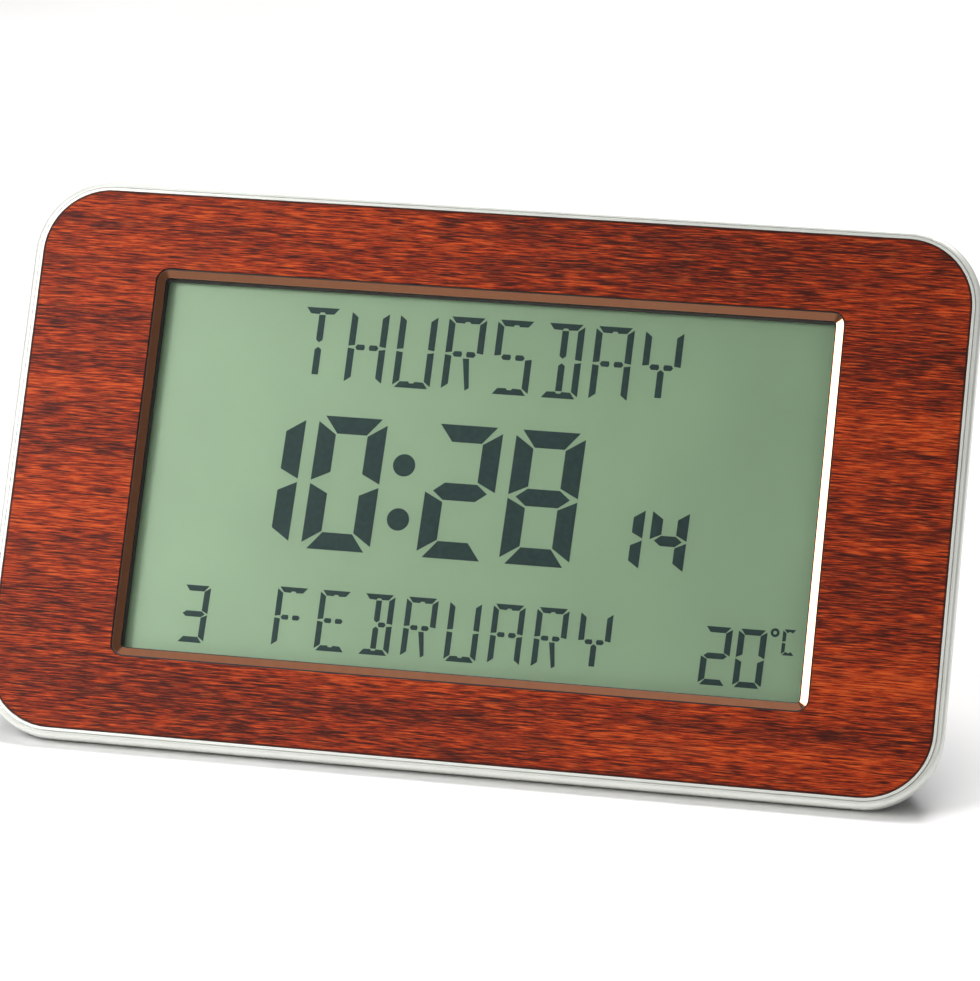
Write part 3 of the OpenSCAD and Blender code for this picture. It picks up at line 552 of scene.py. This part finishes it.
black = Finish("black_moulding")
grain = black.noise(black.grid(3.2, 3.2, 3.2), detail=3, rough=0.55)
patches = black.noise(black.grid(0.05, 0.05, 0.05), detail=3)
black.skin({
    "Base Color": black.ramp(patches * 0.7 + grain * 0.3, (0.3, "242526"), (0.7, "303133")),
    "Roughness": 0.46 + grain * 0.16,
}, relief=grain, depth=0.035)
dress(black, "lcd_holder")

layered = Finish("zebra_silicone")
layers = layered.node("TexWave", {"bands_direction": "X"}, {"Vector": layered.grid(), "Scale": 2.2})
layered.skin({
    "Base Color": layered.ramp(layers, (0.35, "d98a98"), (0.6, "3a2b2e")),
    "Roughness": 0.55 + layers * 0.1,
})
dress(layered, "zebra_strip")

plated_steel = Finish("plated_steel")
scratch = plated_steel.noise(plated_steel.grid(0.6, 3, 3), detail=4, rough=0.65)
plated_steel.skin({
    "Base Color": plated_steel.ramp(scratch, (0.3, "a7a9ab"), (0.7, "cbccce")),
    "Metallic": 1.0,
    "Roughness": 0.24 + scratch * 0.2,
}, relief=scratch, depth=0.004)
dress(plated_steel, "holder_screws")

# ---- Circuit boards ----
# Green solder mask over copper tracks, with tinned pads, on both the main
# board and the button board. Small screws hold them, and a flat ribbon of
# grey wires joins them.

board = Finish("solder_mask")
tracks = board.node("TexBrick", {"offset": 0.37}, {
    "Vector": board.node("CombineXYZ", values={0: board.along("X"), 1: board.along("Z")}),
    "Scale": 0.32, "Mortar Size": 0.035, "Color1": (0, 0, 0, 1), "Color2": (0.2, 0.2, 0.2, 1),
    "Mortar": (1, 1, 1, 1), "Brick Width": 1.7, "Row Height": 0.55,
}, output="Color")
pads = board.node("TexVoronoi", values={"Vector": board.grid(0.3, 0.3, 0.3), "Scale": 1})
tinned = 1 - board.step(pads, 0.16, 0.19)
weave = board.noise(board.grid(1.5, 1.5, 1.5), detail=2)
bare_mask = board.ramp(weave, (0.3, "0d4a26"), (0.7, "125a2e"))
tracked_mask = board.blend(tracks, bare_mask, paint("1f7a42"))
board.skin({
    "Base Color": board.blend(tinned, tracked_mask, paint("b9b7ac")),
    "Metallic": tinned * 0.9,
    "Roughness": 0.28 + weave * 0.12,
}, relief=tinned, depth=0.03)
dress(board, "main_board", "button_board")
dress(plated_steel, "board_screws", "button_board_screws", "quartz_crystal")

epoxy = Finish("black_epoxy")
flow = epoxy.noise(epoxy.grid(0.4, 0.4, 0.4), detail=3)
epoxy.skin({
    "Base Color": epoxy.ramp(flow, (0.3, "0b0b0c"), (0.7, "17171a")),
    "Roughness": 0.16 + flow * 0.14,
}, relief=flow, depth=0.05)
dress(epoxy, "controller_chip", "temperature_sensor")

ceramic = Finish("chip_ceramic")
ends = ceramic.node("TexWave", {"bands_direction": "X"}, {"Vector": ceramic.grid(), "Scale": 0.2})
ceramic.skin({
    "Base Color": ceramic.ramp(ends, (0.4, "a28a66"), (0.55, "c8c8c4")),
    "Metallic": ceramic.step(ends, 0.5, 0.55) * 0.8,
    "Roughness": 0.35 + ends * 0.1,
})
dress(ceramic, "smd_parts")

ribbon = Finish("ribbon_wires")
strands = ribbon.node("TexWave", {"bands_direction": "X"}, {"Vector": ribbon.grid(), "Scale": 0.31})
ribbon.skin({
    "Base Color": ribbon.ramp(strands, (0.1, "6d7278"), (0.5, "9aa0a6")),
    "Roughness": 0.42 + strands * 0.08,
}, relief=strands, depth=0.25)
dress(ribbon, "ribbon_cable")

# ---- Rear housing ----
# The tapered back shell is moulded in black plastic with a fine spark-eroded
# texture. Four screws from behind hold it to the front frame.

dress(black, "rear_housing")
dress(plated_steel, "housing_screws")

# ---- Buttons ----
# Five domed caps in grey plastic stand out of the back, each with a raised
# sign, on the white stems of their black switches.

BUTTONS = ["mode", "set", "up", "down", "unit"]
BUTTON_Z = 31
BUTTON_PITCH = 15
CAP_TOP = 28
SIGN_T = 0.3
SIGN_Y = CAP_TOP - SIGN_T / 3
SIGN_W = 3.2
SIGN_STROKE = 0.6
SIGN_HOLE_R = 1.1
SIGN_SQUARE = 2.6
SIGN_SQUARE_HOLE = 1.8
DOT_R = 0.6
DOT_APART = 1.8

cap = Finish("grey_caps")
satin = cap.noise(cap.grid(4, 4, 4), detail=2)
wipe = cap.noise(cap.grid(0.3, 0.3, 0.3), detail=3)
cap.skin({
    "Base Color": cap.ramp(wipe, (0.3, "55585b"), (0.7, "64676a")),
    "Roughness": 0.34 + satin * 0.14,
}, relief=satin, depth=0.012)
dress(cap, *(name + "_button" for name in BUTTONS))


def bar(x, z, w, h):
    """Outline of an upright bar with its middle at x, z."""
    x0, x1 = x - w / 2, x + w / 2
    z0, z1 = z - h / 2, z + h / 2
    return [(x0, z0), (x1, z0), (x1, z1), (x0, z1)]


def plus(x, z, size, stroke):
    """Outline of a plus sign with its middle at x, z."""
    a, b = size / 2, stroke / 2
    quarter = [(a, b), (b, b), (b, a)]
    points = []
    for _ in range(4):
        points += quarter
        quarter = [(-q, p) for p, q in quarter]
    return [(x + p, z + q) for p, q in points]


pale = Finish("pale_print")
worn = pale.noise(pale.grid(2.5, 2.5, 2.5), detail=3)
pale.skin({
    "Base Color": pale.ramp(worn, (0.3, "c3c5c4"), (0.7, "dcdddb")),
    "Roughness": 0.4 + worn * 0.15,
})
signs = {
    "mode": lambda x: [disc(x, BUTTON_Z, radius) for radius in (SIGN_W / 2, SIGN_HOLE_R)],
    "set": lambda x: [bar(x, BUTTON_Z, side, side) for side in (SIGN_SQUARE, SIGN_SQUARE_HOLE)],
    "up": lambda x: [plus(x, BUTTON_Z, SIGN_W, SIGN_STROKE)],
    "down": lambda x: [bar(x, BUTTON_Z, SIGN_W, SIGN_STROKE)],
    "unit": lambda x: [disc(x + side * DOT_APART / 2, BUTTON_Z, DOT_R) for side in (-1, 1)],
}
middle = (len(BUTTONS) - 1) / 2
for k, name in enumerate(BUTTONS):
    outlines = signs[name]((k - middle) * BUTTON_PITCH)
    sign = flat_piece(name + "_sign", outlines, SIGN_Y, SIGN_T, name + "_button", pale)

stem_white = Finish("white_stems")
chalk = stem_white.noise(stem_white.grid(2, 2, 2), detail=2)
stem_white.skin({
    "Base Color": stem_white.ramp(chalk, (0.3, "d9d6cc"), (0.7, "e6e4dc")),
    "Roughness": 0.4 + chalk * 0.15,
})
dress(stem_white, *(name + "_plunger" for name in BUTTONS))
dress(black, "switch_bodies")

# ---- Battery door and cells ----
# The door slides off to the right, as the raised arrow on it shows. Two cells
# in plain sleeves lie head to tail between plated contacts and springs, and
# a red and a black lead run to the board.

ARROW = (58, -8)
ARROW_Y = 27
ARROW_T = 0.3
ARROW_HALF_L = 9
ARROW_NECK = 2
ARROW_HALF_W = 4.2
SHAFT_HALF_W = 1.2
METAL_END = 1.4
PRINT_EDGE = 0.1
SLEEVE_BAND = 14

dress(black, "battery_door")
arrow = [(ARROW[0] + x, ARROW[1] + z) for x, z in (
    (-ARROW_HALF_L, -SHAFT_HALF_W), (ARROW_NECK, -SHAFT_HALF_W), (ARROW_NECK, -ARROW_HALF_W),
    (ARROW_HALF_L, 0), (ARROW_NECK, ARROW_HALF_W), (ARROW_NECK, SHAFT_HALF_W),
    (-ARROW_HALF_L, SHAFT_HALF_W),
)]
door_arrow = flat_piece("door_arrow", [arrow], ARROW_Y, ARROW_T, "battery_door", black)

sleeve = Finish("cell_sleeve")
cell_low, cell_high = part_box("upper_cell")
cell_left = cell_low.x / MM
cell_half_l = (cell_high.x - cell_low.x) / MM / 2
from_left = sleeve.along("X") - cell_left
from_middle = (from_left - cell_half_l).maths("ABSOLUTE")
bare_end = sleeve.step(
    from_middle, cell_half_l - METAL_END - PRINT_EDGE, cell_half_l - METAL_END,
)
blue_part = sleeve.step(from_left, SLEEVE_BAND, SLEEVE_BAND + PRINT_EDGE)
ripple = sleeve.noise(sleeve.grid(0.2, 1, 1), detail=3)
sleeve_colour = sleeve.blend(blue_part, paint("c9ccd0"), paint("24507e"))
sleeve.skin({
    "Base Color": sleeve.blend(bare_end, sleeve_colour, paint("c4c5c7")),
    "Metallic": bare_end,
    "Roughness": 0.24 + ripple * 0.12,
}, relief=ripple, depth=0.02)
dress(sleeve, "upper_cell", "lower_cell")
dress(plated_steel, "battery_springs")

nickel = Finish("nickel_contacts")
tarnish = nickel.noise(nickel.grid(0.5, 0.5, 0.5), detail=4)
nickel.skin({
    "Base Color": nickel.ramp(tarnish, (0.3, "b39a66"), (0.7, "cfc3a4")),
    "Metallic": 1.0,
    "Roughness": 0.22 + tarnish * 0.2,
})
dress(nickel, "battery_contacts")

for name, dark, light in (("plus_lead", "7d1210", "951a16"), ("minus_lead", "141414", "1f1f20")):
    pvc = Finish(name + "_pvc")
    wavy = pvc.noise(pvc.grid(0.8, 0.8, 0.8), detail=2)
    pvc.skin({
        "Base Color": pvc.ramp(wavy, (0.3, dark), (0.7, light)),
        "Roughness": 0.34 + wavy * 0.1,
    })
    dress(pvc, name)

# ---- Feet and stand ----
# Rubber feet under the front edge, and a leg that swings on a steel pin and
# stands on a rubber pad.

dress(black, "stand_leg")
dress(plated_steel, "stand_pin")
rubber = Finish("black_rubber")
dust = rubber.noise(rubber.grid(1.6, 1.6, 1.6), detail=4, rough=0.6)
rubber.skin({
    "Base Color": rubber.ramp(dust, (0.3, "171717"), (0.7, "222221")),
    "Roughness": 0.72 + dust * 0.15,
}, relief=dust, depth=0.03)
dress(rubber, "rubber_feet", "stand_pad")
